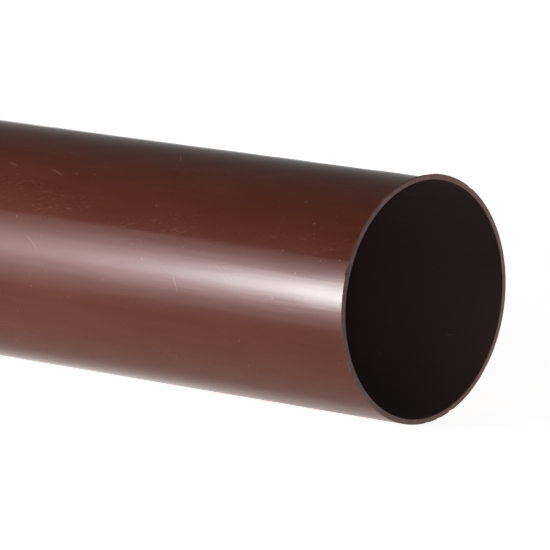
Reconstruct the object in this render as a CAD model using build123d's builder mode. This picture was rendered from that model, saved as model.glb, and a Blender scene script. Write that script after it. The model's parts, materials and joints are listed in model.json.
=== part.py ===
from build123d import *
import os

# Round rainwater downpipe: one straight length of thin-walled extruded pipe with
# plain saw-cut ends. All lengths are in millimetres.
#
# The pipe lies on its side along X. The origin is on the line that it rests on,
# halfway along, so the lowest point of the pipe is at Z = 0.

# Driving dimensions of the extruded section and of the stock length
outside_diameter = 68.0
wall_thickness = 1.5
stock_length = 2500.0

# Edges of the saw cuts: the outer rim is worn by handling, the inner rim is nearly sharp
outer_edge_break = 0.25
inner_edge_break = 0.12

# Worked out from the sizes above
outside_radius = outside_diameter / 2
bore_radius = outside_radius - wall_thickness

# The plane of the first saw cut: centred on the pipe's axis, facing along the pipe
first_cut = Plane(
    origin=(-stock_length / 2, 0, outside_radius),
    x_dir=(0, 1, 0),
    z_dir=(1, 0, 0),
)

# The pipe: a ring-shaped section drawn out from one saw cut to the other
with BuildPart() as downpipe:
    with BuildSketch(first_cut) as section:
        Circle(outside_radius)
        Circle(bore_radius, mode=Mode.SUBTRACT)
    extrude(amount=stock_length)

    # The smallest circles are the bore's two rims, and the largest are the outer rims
    bore_rims = downpipe.edges().filter_by(GeomType.CIRCLE).group_by(SortBy.RADIUS)[0]
    chamfer(bore_rims, inner_edge_break)
    outer_rims = downpipe.edges().filter_by(GeomType.CIRCLE).group_by(SortBy.RADIUS)[-1]
    chamfer(outer_rims, outer_edge_break)

downpipe.part.label = "downpipe"

os.makedirs("parts", exist_ok=True)
export_step(downpipe.part, "parts/downpipe.step")
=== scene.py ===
import json
import math

import bpy
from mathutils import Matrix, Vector


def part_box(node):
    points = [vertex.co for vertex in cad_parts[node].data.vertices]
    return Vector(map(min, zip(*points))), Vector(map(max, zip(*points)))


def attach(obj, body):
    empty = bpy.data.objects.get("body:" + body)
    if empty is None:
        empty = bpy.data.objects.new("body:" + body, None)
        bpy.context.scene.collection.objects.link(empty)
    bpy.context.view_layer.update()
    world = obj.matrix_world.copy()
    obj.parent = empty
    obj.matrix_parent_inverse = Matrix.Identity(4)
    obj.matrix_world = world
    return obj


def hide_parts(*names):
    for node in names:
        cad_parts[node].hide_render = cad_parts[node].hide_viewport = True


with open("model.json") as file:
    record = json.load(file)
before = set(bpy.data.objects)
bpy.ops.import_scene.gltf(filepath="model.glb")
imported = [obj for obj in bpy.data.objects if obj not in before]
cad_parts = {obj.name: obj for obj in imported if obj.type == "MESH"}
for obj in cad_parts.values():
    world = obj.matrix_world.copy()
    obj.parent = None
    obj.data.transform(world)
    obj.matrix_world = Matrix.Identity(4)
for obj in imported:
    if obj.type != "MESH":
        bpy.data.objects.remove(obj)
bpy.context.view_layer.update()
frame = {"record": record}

# Sizes that the frame gives, in metres. The pipe lies along X and rests on Z = 0
MM = 0.001
MOUNTS = {mount["name"]: mount for mount in frame["record"]["mounts"]}
LOW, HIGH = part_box("downpipe")
LENGTH = HIGH[0] - LOW[0]
OUTER_RADIUS = MOUNTS["outside_wall"]["dims"]["r_mm"] * MM
BORE_RADIUS = MOUNTS["bore"]["dims"]["r_mm"] * MM
OUTER_BREAK = (LENGTH - MOUNTS["outside_wall"]["dims"]["length_mm"] * MM) / 2
BORE_BREAK = (LENGTH - MOUNTS["bore"]["dims"]["length_mm"] * MM) / 2
AXIS = Vector(MOUNTS["bore"]["pos_m"])
RIM_CENTRE = AXIS + Vector((LENGTH / 2, 0, 0))

# How finely the pipe is divided
FACETS_AROUND = 480
RINGS_ALONG = 40
RINGS_ACROSS_CUT = 9

# An edge that turns by more than this, in radians, is shaded sharp
SHARP_ANGLE = 0.5

# A face that points along the pipe by more than this, on a scale of 0 to 1, is part of a cut
CUT_FACING = 0.5

# Relief of the saw cuts: ridges that the blade leaves, and small chips out of the outer edge
SAW_RELIEF = 0.10 * MM
SAW_PATCH = 1.6 * MM
CHIP_DEPTH = 0.38 * MM
CHIP_WIDTH = 2.0 * MM
SEED = 5

# Points nearer than this to where a cut starts count as part of it
HAIR = 0.01 * MM

# How high the noise has to be for a chip to start, and for a chip of full depth
CHIP_START = 0.61
CHIP_FULL = 0.72

# The rubbed stripe along the skin: how far round from the top, how wide, and how much is rubbed elsewhere
RUB_AROUND = -33.5 * MM
RUB_WIDTH = 7.0 * MM
RUB_ELSEWHERE = 0.22

# Relief of the skin, in millimetres
LINE_RELIEF = 0.0009
BAND_RELIEF = 0.030
WAVE_RELIEF = 0.18
GRAIN_RELIEF = 0.0002
SCUFF_RELIEF = -0.003
SCRATCH_RELIEF = -0.006

# Relief of the cuts' score lines and of the lines drawn in the bore, in metres
SCORE_RELIEF = 0.06 * MM
BORE_RELIEF = 0.002 * MM

# The least and the greatest roughness of each finish, and what a mark adds to the skin's
SKIN_ROUGHNESS = (0.08, 0.12)
CUT_ROUGHNESS = (0.6, 0.8)
BORE_ROUGHNESS = (0.36, 0.46)
MARK_ROUGHNESS = 0.12
PLASTIC_IOR = 1.5

# How strongly dust, scuffs and scratches show their colour
DUST_TINT = 0.17
SCUFF_TINT = 0.080
SCRATCH_TINT = 0.17
BORE_MARK_TINT = 0.45

# How far in from the cut the bore's painted light takes to reach its full share, and how high up its wall it
# reaches
PAINTED_LIGHT_DEPTH = 0.045
PAINTED_LIGHT_REACH = 1.2 * OUTER_RADIUS

# The photograph's view: a long lens that looks past the cut end along the pipe
IMAGE_PIXELS = 550
FOCAL_PIXELS = 6167
SENSOR_WIDTH = 36.0
VIEW_AZIMUTH = math.radians(41.91)
VIEW_ELEVATION = math.radians(9.77)
CLIP_END = 500

# Where the rim's centre is in that view, in outside radii from the lens
RIM_RIGHT, RIM_DOWN, RIM_AWAY = 1.1905, 0.1949, 48.7936

# The studio above the horizon: how high its white reaches, and the ceiling in front and behind
SKY_SPREAD = 0.352
CEILING_FRONT = 0.03
CEILING_BACK = 0.11

# The studio below the horizon, which only gloss shows: in front, behind, and behind on the right
BELOW_FRONT = 0.42
BELOW_BACK = 0.87
BELOW_RIGHT = 0.60

# Where these change, on a scale of -1 to 1 from front to back, and for the last from left to right
CEILING_TURN = (-0.3, 0.3)
BELOW_TURN = (0.30, 0.65)
BELOW_RIGHT_TURN = (-0.677, -0.650)

# The studio's colour below the horizon and above it
WARM = (1.0, 0.95, 0.92, 1)
WHITE = (1, 1, 1, 1)

# The floor: how far it reaches, its glow as other things see it and as the camera sees it, and its paper
FLOOR_REACH = 200.0
FLOOR_GLOW = 0.78
FLOOR_GLOW_SEEN = 0.84
FLOOR_PAPER = (0.9, 0.9, 0.9, 1)

# The softbox: where its middle is from the rim, how far under that it aims, its size and its peak
BOX_OFFSET = Vector((-0.366, -0.40, 0.030))
BOX_AIM_DROP = 0.05
BOX_WIDTH = 0.60
BOX_HEIGHT = 0.600
BOX_PEAK = 24.4

# The softbox's colour where it is bright and where it is dim, and the strengths between which it changes
BOX_MIDDLE = (1.0, 0.975, 0.985, 1)
BOX_EDGES = (1.0, 0.81, 0.84, 1)
BOX_TINT_TURN = (0.22, 0.46)

# The softbox's bright spot: its place as shares of the panel, its size in metres, its flare and its lean
SPOT_ACROSS = 0.62
SPOT_UP = 0.5185
SPOT_WIDTH = 0.0662
SPOT_HEIGHT = 0.121
SPOT_FLARE = 0.200
SPOT_TILT = 0.078

# The softbox's upper edge, which slopes: where it leaves the panel, and how steep it is
BOX_EDGE_START = 0.639
BOX_EDGE_FALL = 0.569

# The softbox's dim hem: how high it reaches, how that falls along the panel, and how bright its top is
BOX_HEM = 0.2216
BOX_HEM_FALL = 0.18
BOX_HEM_GLOW = 0.78

# The fill light: where its middle is from the rim, its size, and its peak
FILL_OFFSET = Vector((-0.42, -0.20, 0.0))
FILL_SIZE = 0.20
FILL_PEAK = 4.0

# The strip light low behind the pipe: where its middle is from the rim, its size, and its peak
STRIP_OFFSET = Vector((-1.974, 2.19, 0.378))
STRIP_WIDTH = 1.20
STRIP_HEIGHT = 0.87
STRIP_PEAK = 3.0

# Colours, as linear light
BROWN = (0.067, 0.0160, 0.0092, 1)
BROWN_FADED = (0.081, 0.0218, 0.0126, 1)
CUT_BROWN = (0.072, 0.042, 0.036, 1)
CUT_PALE = (0.205, 0.112, 0.102, 1)
BORE_BROWN = (0.037, 0.0212, 0.0200, 1)
# The bore's lighter colour is painted light: it lightens the bore's shade deeper in and low down
BORE_PAINTED_LIGHT = (0.156, 0.090, 0.085, 1)
DUST = (0.42, 0.22, 0.18, 1)


class Nodes:
    """Adds linked nodes to one tree with short calls."""

    def __init__(self, tree):
        self.tree = tree

    def add(self, kind, sockets=None, **settings):
        """A new node. Sockets are given by name or number, each with a value or the output that feeds it."""
        made = self.tree.nodes.new(kind)
        for name, value in settings.items():
            setattr(made, name, value)
        for key, value in (sockets or {}).items():
            self.feed(made.inputs[key], value)
        return made

    def feed(self, socket, value):
        """Links a socket to an output, or sets its value."""
        if isinstance(value, bpy.types.NodeSocket):
            self.tree.links.new(value, socket)
        else:
            socket.default_value = value

    def math(self, operation, a, b=0.0, c=0.0):
        return self.add("ShaderNodeMath", {0: a, 1: b, 2: c}, operation=operation).outputs[0]

    def vector(self, operation, a, b=(0, 0, 0)):
        made = self.add("ShaderNodeVectorMath", {0: a, 1: b}, operation=operation)
        return made.outputs["Value" if operation in ("DOT_PRODUCT", "LENGTH") else "Vector"]

    def combine(self, x=0.0, y=0.0, z=0.0):
        return self.add("ShaderNodeCombineXYZ", {0: x, 1: y, 2: z}).outputs[0]

    def separate(self, vector):
        return self.add("ShaderNodeSeparateXYZ", {0: vector}).outputs

    def noise(self, at, scale=1.0, detail=2.0, roughness=0.5):
        sockets = {"Vector": at, "Scale": scale, "Detail": detail, "Roughness": roughness}
        return self.add("ShaderNodeTexNoise", sockets).outputs[0]

    def stretched_noise(self, at, repeats, detail=2.0, roughness=0.5):
        """Noise that repeats about so many times per metre in each direction."""
        return self.noise(self.vector("MULTIPLY", at, repeats), 1.0, detail, roughness)

    def ramp(self, value, low, high, to_low=0.0, to_high=1.0):
        """Goes from to_low to to_high while the value goes from low to high, and no further."""
        sockets = {"Value": value, "From Min": low, "From Max": high, "To Min": to_low, "To Max": to_high}
        return self.add("ShaderNodeMapRange", sockets).outputs[0]

    def blend(self, factor, first, second):
        """A mix of two colours."""
        made = self.add("ShaderNodeMix", data_type="RGBA")
        self.feed(made.inputs[0], factor)
        self.feed(made.inputs[6], first)
        self.feed(made.inputs[7], second)
        return made.outputs[2]


def new_material(name):
    """An empty procedural material, and its nodes."""
    material = bpy.data.materials.new(name)
    material.use_nodes = True
    material.node_tree.nodes.clear()
    return material, Nodes(material.node_tree)


def finish_material(nodes, colour, roughness, height, depth):
    """Plastic of a colour and roughness, with relief: its height pattern, and how deep one unit of it is."""
    bump = nodes.add("ShaderNodeBump", {"Height": height, "Distance": depth, "Strength": 1.0})
    surface = nodes.add("ShaderNodeBsdfPrincipled", {"Base Color": colour, "Roughness": roughness,
                                                     "Normal": bump.outputs[0], "IOR": PLASTIC_IOR})
    nodes.add("ShaderNodeOutputMaterial", {"Surface": surface.outputs[0]})


def unrolled(nodes):
    """The place on the wall as if it were cut along the bottom and laid flat: along, around, nothing."""
    x, y, z = nodes.separate(nodes.add("ShaderNodeTexCoord").outputs["Object"])
    angle = nodes.math("ARCTAN2", y, nodes.math("SUBTRACT", z, AXIS.z))
    return nodes.combine(x, nodes.math("MULTIPLY", angle, OUTER_RADIUS))


def cells(nodes, flat, size):
    """Irregular cells about so many metres wide: the place inside each, in metres, and its three lots."""
    grid = nodes.vector("MULTIPLY", flat, (1 / size, 1 / size, 0))
    found = nodes.add("ShaderNodeTexVoronoi",
                      {"Vector": grid, "Scale": 1.0, "Randomness": 0.8}, voronoi_dimensions="2D")
    inside = nodes.vector("SUBTRACT", grid, found.outputs["Position"])
    lots = nodes.add("ShaderNodeSeparateColor", {0: found.outputs["Color"]}).outputs
    return nodes.vector("MULTIPLY", inside, (size, size, 0)), lots


def specks(nodes, flat, size, share, radius):
    """Grains of dust: a soft dot, of a size drawn by lot, in a share of the cells."""
    inside, lots = cells(nodes, flat, size)
    reach = nodes.ramp(lots[1], 0.0, 1.0, 0.5 * radius, radius)
    apart = nodes.math("DIVIDE", nodes.vector("LENGTH", inside), reach)
    chosen = nodes.math("LESS_THAN", lots[0], share)
    return nodes.math("MULTIPLY", chosen, nodes.ramp(apart, 0.4, 1.0, 1.0, 0.0))


def strokes(nodes, flat, size, share, length, width, lean, spread, bend):
    """Thin bent scratches, one in a share of the cells. Each leans so many degrees off the pipe's length."""
    inside, lots = cells(nodes, flat, size)
    tilt = nodes.ramp(lots[1], 0.0, 1.0, math.radians(lean - spread), math.radians(lean + spread))
    x, y, z = nodes.separate(inside)
    cosine = nodes.math("COSINE", tilt)
    sine = nodes.math("SINE", tilt)
    along = nodes.math("MULTIPLY_ADD", x, cosine, nodes.math("MULTIPLY", y, sine))
    across = nodes.math("SUBTRACT", nodes.math("MULTIPLY", y, cosine), nodes.math("MULTIPLY", x, sine))
    across = nodes.math("MULTIPLY_ADD", nodes.math("MULTIPLY", along, along), bend, across)
    reach = nodes.ramp(lots[2], 0.0, 1.0, 0.3 * length, 0.5 * length)
    ends = nodes.ramp(nodes.math("DIVIDE", nodes.math("ABSOLUTE", along), reach), 0.5, 1.0, 1.0, 0.0)
    sides = nodes.ramp(nodes.math("ABSOLUTE", across), 0.1 * width, 0.5 * width, 1.0, 0.0)
    chosen = nodes.math("LESS_THAN", lots[0], share)
    return nodes.math("MULTIPLY", chosen, nodes.math("MULTIPLY", ends, sides))


def skin_material():
    """Extruded outside: semi-gloss, with faint lines drawn along it, slow waves, dust and scuffs."""
    material, nodes = new_material("extruded_skin")
    flat = unrolled(nodes)
    lines = nodes.stretched_noise(flat, (5, 1100, 0))
    bands = nodes.stretched_noise(flat, (38, 460, 0), 3.0, 0.6)
    waves = nodes.stretched_noise(flat, (18, 52, 0))
    clouds = nodes.stretched_noise(flat, (30, 90, 0), 4.0, 0.6)
    grain = nodes.noise(flat, 2200, 2.0)

    # Dust lies all over
    large = specks(nodes, flat, size=0.007, share=0.18, radius=0.00042)
    small = specks(nodes, flat, size=0.0031, share=0.10, radius=0.00022)
    dust = nodes.math("MAXIMUM", large, small)

    # Scuffs gather along the rubbed stripe, and thinly in patches elsewhere
    around = nodes.separate(flat)[1]
    off_stripe = nodes.math("ABSOLUTE", nodes.math("SUBTRACT", around, RUB_AROUND))
    stripe = nodes.ramp(off_stripe, 0.4 * RUB_WIDTH, RUB_WIDTH, 1.0, RUB_ELSEWHERE)
    patches = nodes.ramp(nodes.stretched_noise(flat, (31, 80, 0)), 0.44, 0.60)
    handled = nodes.math("MULTIPLY", stripe, patches)
    long_ones = strokes(nodes, flat, size=0.0036, share=0.42, length=0.0040, width=0.00070,
                        lean=14, spread=20, bend=60)
    short_ones = strokes(nodes, flat, size=0.0023, share=0.26, length=0.0020, width=0.00055,
                         lean=0, spread=70, bend=-90)
    smears = nodes.ramp(nodes.stretched_noise(flat, (480, 1900, 0), 3.0, 0.6), 0.52, 0.72, 0.0, 0.8)
    scuffs = nodes.math("MAXIMUM", nodes.math("MAXIMUM", long_ones, short_ones), smears)
    scuffs = nodes.math("MULTIPLY", scuffs, handled)

    # A few scratches are longer
    scratches = strokes(nodes, flat, size=0.018, share=0.14, length=0.008, width=0.00044,
                        lean=-40, spread=40, bend=30)

    clean = nodes.blend(nodes.ramp(clouds, 0.35, 0.68, 0.0, 0.8), BROWN, BROWN_FADED)
    streaked = nodes.blend(nodes.ramp(bands, 0.42, 0.70, 0.0, 0.5), clean, BROWN_FADED)
    rubbed = nodes.math("MAXIMUM", nodes.math("MULTIPLY", scuffs, SCUFF_TINT),
                        nodes.math("MULTIPLY", scratches, SCRATCH_TINT))
    worn = nodes.blend(rubbed, streaked, DUST)
    colour = nodes.blend(nodes.math("MULTIPLY", dust, DUST_TINT), worn, DUST)

    rough = nodes.math("ADD", nodes.ramp(lines, 0.3, 0.7, *SKIN_ROUGHNESS),
                       nodes.ramp(clouds, 0.45, 0.8, 0.0, 0.04))
    marked = nodes.math("MAXIMUM", dust, nodes.math("MAXIMUM", scuffs, scratches))
    rough = nodes.math("MULTIPLY_ADD", marked, MARK_ROUGHNESS, rough)

    relief = nodes.math("MULTIPLY", lines, LINE_RELIEF)
    for pattern, depth in ((bands, BAND_RELIEF), (waves, WAVE_RELIEF), (grain, GRAIN_RELIEF),
                           (scuffs, SCUFF_RELIEF), (scratches, SCRATCH_RELIEF)):
        relief = nodes.math("MULTIPLY_ADD", pattern, depth, relief)
    finish_material(nodes, colour, rough, relief, MM)
    return material


def cut_material():
    """Saw-cut ends: matt, with fine score lines, paler in patches where the blade whitened the plastic, and
    paler across the face towards +Y.
    """
    material, nodes = new_material("saw_cut")
    where = nodes.add("ShaderNodeTexCoord").outputs["Object"]
    scores = nodes.stretched_noise(where, (0, 1500, 120))
    patches = nodes.ramp(nodes.noise(where, 420, 3.0), 0.35, 0.65, 0.0, 0.35)
    # The cut face grows paler across its width towards +Y
    paler_towards_plus_y = nodes.ramp(nodes.separate(where)[1], -OUTER_RADIUS, OUTER_RADIUS, 0.0, 0.65)
    colour = nodes.blend(nodes.math("ADD", patches, paler_towards_plus_y), CUT_BROWN, CUT_PALE)
    finish_material(nodes, colour, nodes.ramp(scores, 0.3, 0.7, *CUT_ROUGHNESS), scores, SCORE_RELIEF)
    return material


def bore_material():
    """Inside wall: duller, with faint drawn lines, dust specks and nicks. Painted light makes the wall
    lighter low down and away from the cuts.
    """
    material, nodes = new_material("bore_wall")
    flat = unrolled(nodes)
    x, y, z = nodes.separate(nodes.add("ShaderNodeTexCoord").outputs["Object"])
    # Painted light: the wall's colour turns lighter deeper in and low down, lightening the bore's shade
    deep = nodes.ramp(nodes.math("ABSOLUTE", x), LENGTH / 2 - PAINTED_LIGHT_DEPTH, LENGTH / 2, 0.5, 0.0)
    low = nodes.ramp(z, 0.0, PAINTED_LIGHT_REACH, 0.6, 0.0)
    wall = nodes.blend(nodes.math("ADD", deep, low), BORE_BROWN, BORE_PAINTED_LIGHT)
    lines = nodes.stretched_noise(flat, (3, 900, 0))
    dust = specks(nodes, flat, size=0.008, share=0.16, radius=0.0003)
    nicks = strokes(nodes, flat, size=0.022, share=0.20, length=0.005, width=0.0003,
                    lean=20, spread=40, bend=60)
    marks = nodes.math("MULTIPLY", nodes.math("MAXIMUM", dust, nicks), BORE_MARK_TINT)
    colour = nodes.blend(marks, wall, DUST)
    finish_material(nodes, colour, nodes.ramp(lines, 0.3, 0.7, *BORE_ROUGHNESS), lines, BORE_RELIEF)
    return material


def pipe_tree():
    """A Geometry Nodes tree that turns the wall's long section round the axis into one closed pipe."""
    tree = bpy.data.node_groups.new("turned_pipe", "GeometryNodeTree")
    sizes = ("Length", "Outer Radius", "Bore Radius", "Outer Break", "Bore Break", "Axis Height",
             "Saw Relief", "Saw Patch", "Chip Depth", "Chip Width")
    for name in sizes:
        tree.interface.new_socket(name, in_out="INPUT", socket_type="NodeSocketFloat")
    for name in ("Facets Around", "Rings Along", "Rings Across Cut", "Seed"):
        tree.interface.new_socket(name, in_out="INPUT", socket_type="NodeSocketInt")
    for name in ("Skin", "Cut", "Bore"):
        tree.interface.new_socket(name, in_out="INPUT", socket_type="NodeSocketMaterial")
    tree.interface.new_socket("Pipe", in_out="OUTPUT", socket_type="NodeSocketGeometry")
    nodes = Nodes(tree)
    given = nodes.add("NodeGroupInput").outputs

    def spot(along, radius):
        """A point of the section: its place along the pipe, and its height above the path it follows."""
        return nodes.combine(nodes.math("SUBTRACT", radius, given["Bore Radius"]), along)

    def row(start, end, count, first):
        """A row of section points, each with its number in the order round the section."""
        line = nodes.add("GeometryNodeMeshLine", {"Count": count, "Start Location": start, "Offset": end},
                         mode="END_POINTS")
        number = nodes.math("ADD", nodes.add("GeometryNodeInputIndex").outputs[0], first)
        stored = nodes.add("GeometryNodeStoreNamedAttribute",
                           {"Geometry": line.outputs[0], "Name": "order", "Value": number},
                           data_type="FLOAT", domain="POINT")
        return stored.outputs[0]

    # Where the section's corners are
    half = nodes.math("MULTIPLY", given["Length"], 0.5)
    minus_half = nodes.math("MULTIPLY", half, -1.0)
    outer_in = nodes.math("SUBTRACT", given["Outer Radius"], given["Outer Break"])
    bore_out = nodes.math("ADD", given["Bore Radius"], given["Bore Break"])
    outer_stop = nodes.math("SUBTRACT", half, given["Outer Break"])
    bore_stop = nodes.math("SUBTRACT", half, given["Bore Break"])
    minus_outer_stop = nodes.math("MULTIPLY", outer_stop, -1.0)
    minus_bore_stop = nodes.math("MULTIPLY", bore_stop, -1.0)

    # The section's four rows: outside wall, one cut, bore, the other cut
    along = given["Rings Along"]
    across = given["Rings Across Cut"]
    both = nodes.math("ADD", along, across)
    rows = (
        row(spot(minus_outer_stop, given["Outer Radius"]), spot(outer_stop, given["Outer Radius"]),
            along, 0.0),
        row(spot(half, outer_in), spot(half, bore_out), across, along),
        row(spot(bore_stop, given["Bore Radius"]), spot(minus_bore_stop, given["Bore Radius"]),
            along, both),
        row(spot(minus_half, bore_out), spot(minus_half, outer_in),
            across, nodes.math("ADD", both, along)),
    )
    joined = nodes.add("GeometryNodeJoinGeometry")
    for points in rows:
        tree.links.new(points, joined.inputs[0])
    loose = nodes.add("GeometryNodeMeshToPoints", {"Mesh": joined.outputs[0]})
    order = nodes.add("GeometryNodeInputNamedAttribute", {"Name": "order"}, data_type="FLOAT")
    section = nodes.add("GeometryNodePointsToCurves",
                        {"Points": loose.outputs[0], "Weight": order.outputs[0]})
    closed = nodes.add("GeometryNodeSetSplineCyclic", {0: section.outputs[0], "Cyclic": True})

    # The section goes once round a ring of the bore's radius, and the pipe is then laid along X
    ring = nodes.add("GeometryNodeCurvePrimitiveCircle",
                     {"Resolution": given["Facets Around"], "Radius": given["Bore Radius"]})
    swept = nodes.add("GeometryNodeCurveToMesh",
                      {"Curve": ring.outputs[0], "Profile Curve": closed.outputs[0]})
    lift = nodes.combine(0.0, 0.0, given["Axis Height"])
    laid = nodes.add("GeometryNodeTransform", {"Geometry": swept.outputs[0], "Translation": lift,
                                               "Rotation": (0, math.radians(90), 0)})

    # Ridges and chips move the points of both cuts inwards along the pipe
    place = nodes.add("GeometryNodeInputPosition").outputs[0]
    x, y, z = nodes.separate(place)
    from_axis = nodes.combine(0.0, y, nodes.math("SUBTRACT", z, given["Axis Height"]))
    shifted = nodes.vector("ADD", place, nodes.combine(given["Seed"]))
    ridges = nodes.math("MULTIPLY", given["Saw Relief"],
                        nodes.noise(shifted, nodes.math("DIVIDE", 1.0, given["Saw Patch"]), 3.0, 0.6))
    near_edge = nodes.ramp(nodes.vector("LENGTH", from_axis),
                           nodes.math("SUBTRACT", outer_in, given["Outer Break"]), outer_in)
    chance = nodes.noise(shifted, nodes.math("DIVIDE", 0.6, given["Chip Width"]), 1.0)
    chips = nodes.math("MULTIPLY", nodes.ramp(chance, CHIP_START, CHIP_FULL),
                       nodes.math("MULTIPLY", near_edge, given["Chip Depth"]))
    inward = nodes.math("MULTIPLY", nodes.math("ADD", ridges, chips), nodes.math("SIGN", x))
    cut_start = nodes.math("SUBTRACT", outer_stop, HAIR)
    at_ends = nodes.math("GREATER_THAN", nodes.math("ABSOLUTE", x), cut_start)
    offset = nodes.combine(nodes.math("MULTIPLY", inward, -1.0))
    worn = nodes.add("GeometryNodeSetPosition",
                     {"Geometry": laid.outputs[0], "Selection": at_ends, "Offset": offset})

    # Smooth shading stops at the edges of the cuts
    angle = nodes.add("GeometryNodeInputMeshEdgeAngle").outputs[0]
    sharp = nodes.math("GREATER_THAN", angle, SHARP_ANGLE)
    smooth = nodes.add("GeometryNodeSetShadeSmooth", {"Geometry": worn.outputs[0]})
    shaded = nodes.add("GeometryNodeSetShadeSmooth",
                       {"Geometry": smooth.outputs[0], "Selection": sharp, "Shade Smooth": False},
                       domain="EDGE")

    # Each face takes its finish from the way it faces: towards the axis, along the pipe, or neither
    facing = nodes.add("GeometryNodeInputNormal").outputs[0]
    is_bore = nodes.math("LESS_THAN", nodes.vector("DOT_PRODUCT", facing, from_axis), 0.0)
    is_cut = nodes.math("GREATER_THAN", nodes.math("ABSOLUTE", nodes.separate(facing)[0]), CUT_FACING)
    whole = nodes.add("GeometryNodeRealizeInstances", {0: shaded.outputs[0]})
    skin = nodes.add("GeometryNodeSetMaterial", {"Geometry": whole.outputs[0], "Material": given["Skin"]})
    bore = nodes.add("GeometryNodeSetMaterial",
                     {"Geometry": skin.outputs[0], "Selection": is_bore, "Material": given["Bore"]})
    cut = nodes.add("GeometryNodeSetMaterial",
                    {"Geometry": bore.outputs[0], "Selection": is_cut, "Material": given["Cut"]})
    nodes.add("NodeGroupOutput", {0: cut.outputs[0]})
    return tree


def bake(tree, settings, name):
    """Runs a tree with these named inputs and returns the result as a plain mesh object."""
    carrier = bpy.data.objects.new("carrier", bpy.data.meshes.new("carrier"))
    bpy.context.scene.collection.objects.link(carrier)
    modifier = carrier.modifiers.new("shape", "NODES")
    modifier.node_group = tree
    for item in tree.interface.items_tree:
        if item.in_out == "INPUT":
            modifier[item.identifier] = settings[item.name]
    graph = bpy.context.evaluated_depsgraph_get()
    mesh = bpy.data.meshes.new_from_object(carrier.evaluated_get(graph), depsgraph=graph)
    mesh.name = name
    bpy.data.objects.remove(carrier)
    made = bpy.data.objects.new(name, mesh)
    bpy.context.scene.collection.objects.link(made)
    return made


def make_pipe():
    """The pipe: the one piece of this part."""
    settings = {
        "Length": LENGTH, "Outer Radius": OUTER_RADIUS, "Bore Radius": BORE_RADIUS,
        "Outer Break": OUTER_BREAK, "Bore Break": BORE_BREAK, "Axis Height": AXIS.z,
        "Saw Relief": SAW_RELIEF, "Saw Patch": SAW_PATCH, "Chip Depth": CHIP_DEPTH, "Chip Width": CHIP_WIDTH,
        "Facets Around": FACETS_AROUND, "Rings Along": RINGS_ALONG, "Rings Across Cut": RINGS_ACROSS_CUT,
        "Seed": SEED, "Skin": skin_material(), "Cut": cut_material(), "Bore": bore_material(),
    }
    pipe = bake(pipe_tree(), settings, "brown_pipe")
    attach(pipe, "root")
    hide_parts("downpipe")


def make_floor():
    """A wide pale floor. It shows as white and keeps a soft shadow of the pipe."""
    reach = FLOOR_REACH
    corners = [(-reach, -reach, 0), (reach, -reach, 0), (reach, reach, 0), (-reach, reach, 0)]
    mesh = bpy.data.meshes.new("floor")
    mesh.from_pydata(corners, [], [(0, 1, 2, 3)])
    floor = bpy.data.objects.new("floor", mesh)
    bpy.context.scene.collection.objects.link(floor)
    material, nodes = new_material("pale_floor")
    seen = nodes.add("ShaderNodeLightPath").outputs["Is Camera Ray"]
    strength = nodes.ramp(seen, 0.0, 1.0, FLOOR_GLOW, FLOOR_GLOW_SEEN)
    glow = nodes.add("ShaderNodeEmission", {"Color": WHITE, "Strength": strength})
    paper = nodes.add("ShaderNodeBsdfDiffuse", {"Color": FLOOR_PAPER})
    both = nodes.add("ShaderNodeAddShader", {0: glow.outputs[0], 1: paper.outputs[0]})
    nodes.add("ShaderNodeOutputMaterial", {"Surface": both.outputs[0]})
    mesh.materials.append(material)
    floor.visible_glossy = False
    floor.visible_shadow = False


def make_world():
    """White at the horizon, falling to a dark ceiling. Gloss shows its lower half instead of the floor."""
    world = bpy.data.worlds.new("studio")
    bpy.context.scene.world = world
    world.use_nodes = True
    world.node_tree.nodes.clear()
    nodes = Nodes(world.node_tree)
    direction = nodes.add("ShaderNodeTexCoord").outputs["Generated"]
    rightwards, backwards, height = nodes.separate(direction)
    fall = nodes.math("POWER", nodes.math("DIVIDE", height, SKY_SPREAD), 2.0)
    whiteness = nodes.math("EXPONENT", nodes.math("MULTIPLY", fall, -1.0))
    ceiling = nodes.ramp(backwards, *CEILING_TURN, CEILING_FRONT, CEILING_BACK)
    above = nodes.ramp(whiteness, 0.0, 1.0, ceiling, 1.0)
    is_above = nodes.math("GREATER_THAN", height, 0.0)
    behind = nodes.ramp(backwards, *BELOW_TURN, BELOW_FRONT, BELOW_BACK)
    limit = nodes.ramp(rightwards, *BELOW_RIGHT_TURN, BELOW_BACK, BELOW_RIGHT)
    below = nodes.math("MINIMUM", behind, limit)
    strength = nodes.ramp(is_above, 0.0, 1.0, below, above)
    tint = nodes.blend(is_above, WARM, WHITE)
    sky = nodes.add("ShaderNodeBackground", {"Color": tint, "Strength": strength})
    nodes.add("ShaderNodeOutputWorld", {"Surface": sky.outputs[0]})


def add_panel(name, centre, facing, width, height, peak):
    """An even panel of light, which the camera doesn't see."""
    light = bpy.data.lights.new(name, "AREA")
    light.shape = "RECTANGLE"
    light.size = width
    light.size_y = height
    light.energy = math.pi * width * height * peak
    panel = bpy.data.objects.new(name, light)
    panel.location = centre
    panel.rotation_euler = facing.to_track_quat("-Z", "Y").to_euler()
    panel.visible_camera = False
    bpy.context.scene.collection.objects.link(panel)
    return panel


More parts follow.
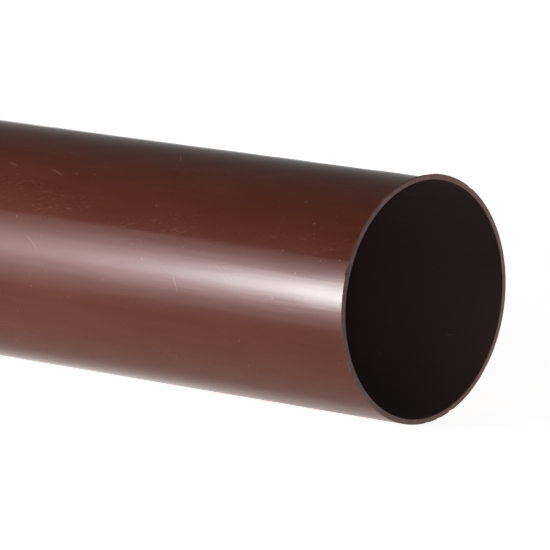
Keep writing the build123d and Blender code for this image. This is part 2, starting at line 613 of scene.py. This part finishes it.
def make_softbox():
    """A soft panel on the left, brightest at one spot, with a sloping upper edge and a dimmer hem."""
    centre = RIM_CENTRE + BOX_OFFSET
    target = RIM_CENTRE + Vector((0, 0, BOX_OFFSET.z - BOX_AIM_DROP))
    light = add_panel("softbox", centre, target - centre, BOX_WIDTH, BOX_HEIGHT, BOX_PEAK).data
    light.use_nodes = True
    light.node_tree.nodes.clear()
    nodes = Nodes(light.node_tree)
    place = nodes.separate(nodes.add("ShaderNodeNewGeometry").outputs["Parametric"])
    panel_across = place[0]
    panel_up = place[1]

    # How far a place is from the bright spot, in spot widths and heights
    across = nodes.ramp(panel_across, SPOT_ACROSS, SPOT_ACROSS + SPOT_WIDTH / BOX_WIDTH)
    upwards = nodes.ramp(panel_up, SPOT_UP, SPOT_UP + SPOT_HEIGHT / BOX_HEIGHT)
    for distance in (across, upwards):
        distance.node.clamp = False
    upwards = nodes.math("MULTIPLY_ADD", across, -SPOT_TILT * SPOT_WIDTH / SPOT_HEIGHT, upwards)

    # The glow falls away on all sides, and more slowly upwards and downwards the farther it is across
    across_squared = nodes.math("MULTIPLY", across, across)
    widened = nodes.math("MULTIPLY_ADD", across_squared, SPOT_FLARE, 1.0)
    fall = nodes.math("DIVIDE", nodes.math("MULTIPLY", upwards, upwards), widened)
    fall = nodes.math("POWER", nodes.math("ADD", fall, 1.0), -2.0)
    glow = nodes.math("DIVIDE", fall, nodes.math("ADD", across_squared, 1.0))

    # Above the upper edge there is no light, and in the hem there is less
    slope = nodes.math("MULTIPLY", nodes.math("SUBTRACT", BOX_EDGE_START, panel_across), BOX_EDGE_FALL)
    under_edge = nodes.math("LESS_THAN", nodes.math("ADD", panel_up, slope), 1.0)
    hem_line = nodes.math("MULTIPLY_ADD", panel_across, -BOX_HEM_FALL, BOX_HEM)
    hem = nodes.math("MAXIMUM", nodes.ramp(panel_up, 0.0, hem_line, 0.0, BOX_HEM_GLOW),
                     nodes.math("GREATER_THAN", panel_up, hem_line))
    strength = nodes.math("MULTIPLY", nodes.math("MULTIPLY", glow, under_edge), hem)

    tint = nodes.blend(nodes.ramp(strength, *BOX_TINT_TURN), BOX_EDGES, BOX_MIDDLE)
    emission = nodes.add("ShaderNodeEmission", {"Color": tint, "Strength": strength})
    nodes.add("ShaderNodeOutputLight", {"Surface": emission.outputs[0]})


def make_lights():
    """The softbox makes the highlight, the fill light the body colour, and the strip the white top edge."""
    make_softbox()
    fill = add_panel("fill", RIM_CENTRE + FILL_OFFSET, -FILL_OFFSET, FILL_SIZE, FILL_SIZE, FILL_PEAK)
    fill.visible_glossy = False
    strip = add_panel("strip", RIM_CENTRE + STRIP_OFFSET, -STRIP_OFFSET,
                      STRIP_WIDTH, STRIP_HEIGHT, STRIP_PEAK)
    strip.visible_diffuse = False


def make_camera():
    """A long lens that sees the rim and the pipe's edges where the photograph does."""
    right = Vector((math.cos(VIEW_AZIMUTH), math.sin(VIEW_AZIMUTH), 0))
    away = Vector((-math.sin(VIEW_AZIMUTH) * math.cos(VIEW_ELEVATION),
                   math.cos(VIEW_AZIMUTH) * math.cos(VIEW_ELEVATION), -math.sin(VIEW_ELEVATION)))
    down = away.cross(right)
    camera = bpy.data.objects.new("camera", bpy.data.cameras.new("camera"))
    camera.location = RIM_CENTRE - OUTER_RADIUS * (RIM_RIGHT * right + RIM_DOWN * down + RIM_AWAY * away)
    camera.rotation_euler = away.to_track_quat("-Z", "Y").to_euler()
    camera.data.sensor_width = SENSOR_WIDTH
    camera.data.lens = FOCAL_PIXELS / IMAGE_PIXELS * SENSOR_WIDTH
    camera.data.clip_end = CLIP_END
    bpy.context.scene.collection.objects.link(camera)
    bpy.context.scene.camera = camera


bpy.context.scene.view_settings.view_transform = "Standard"
make_camera()
make_world()
make_lights()
make_floor()
make_pipe()
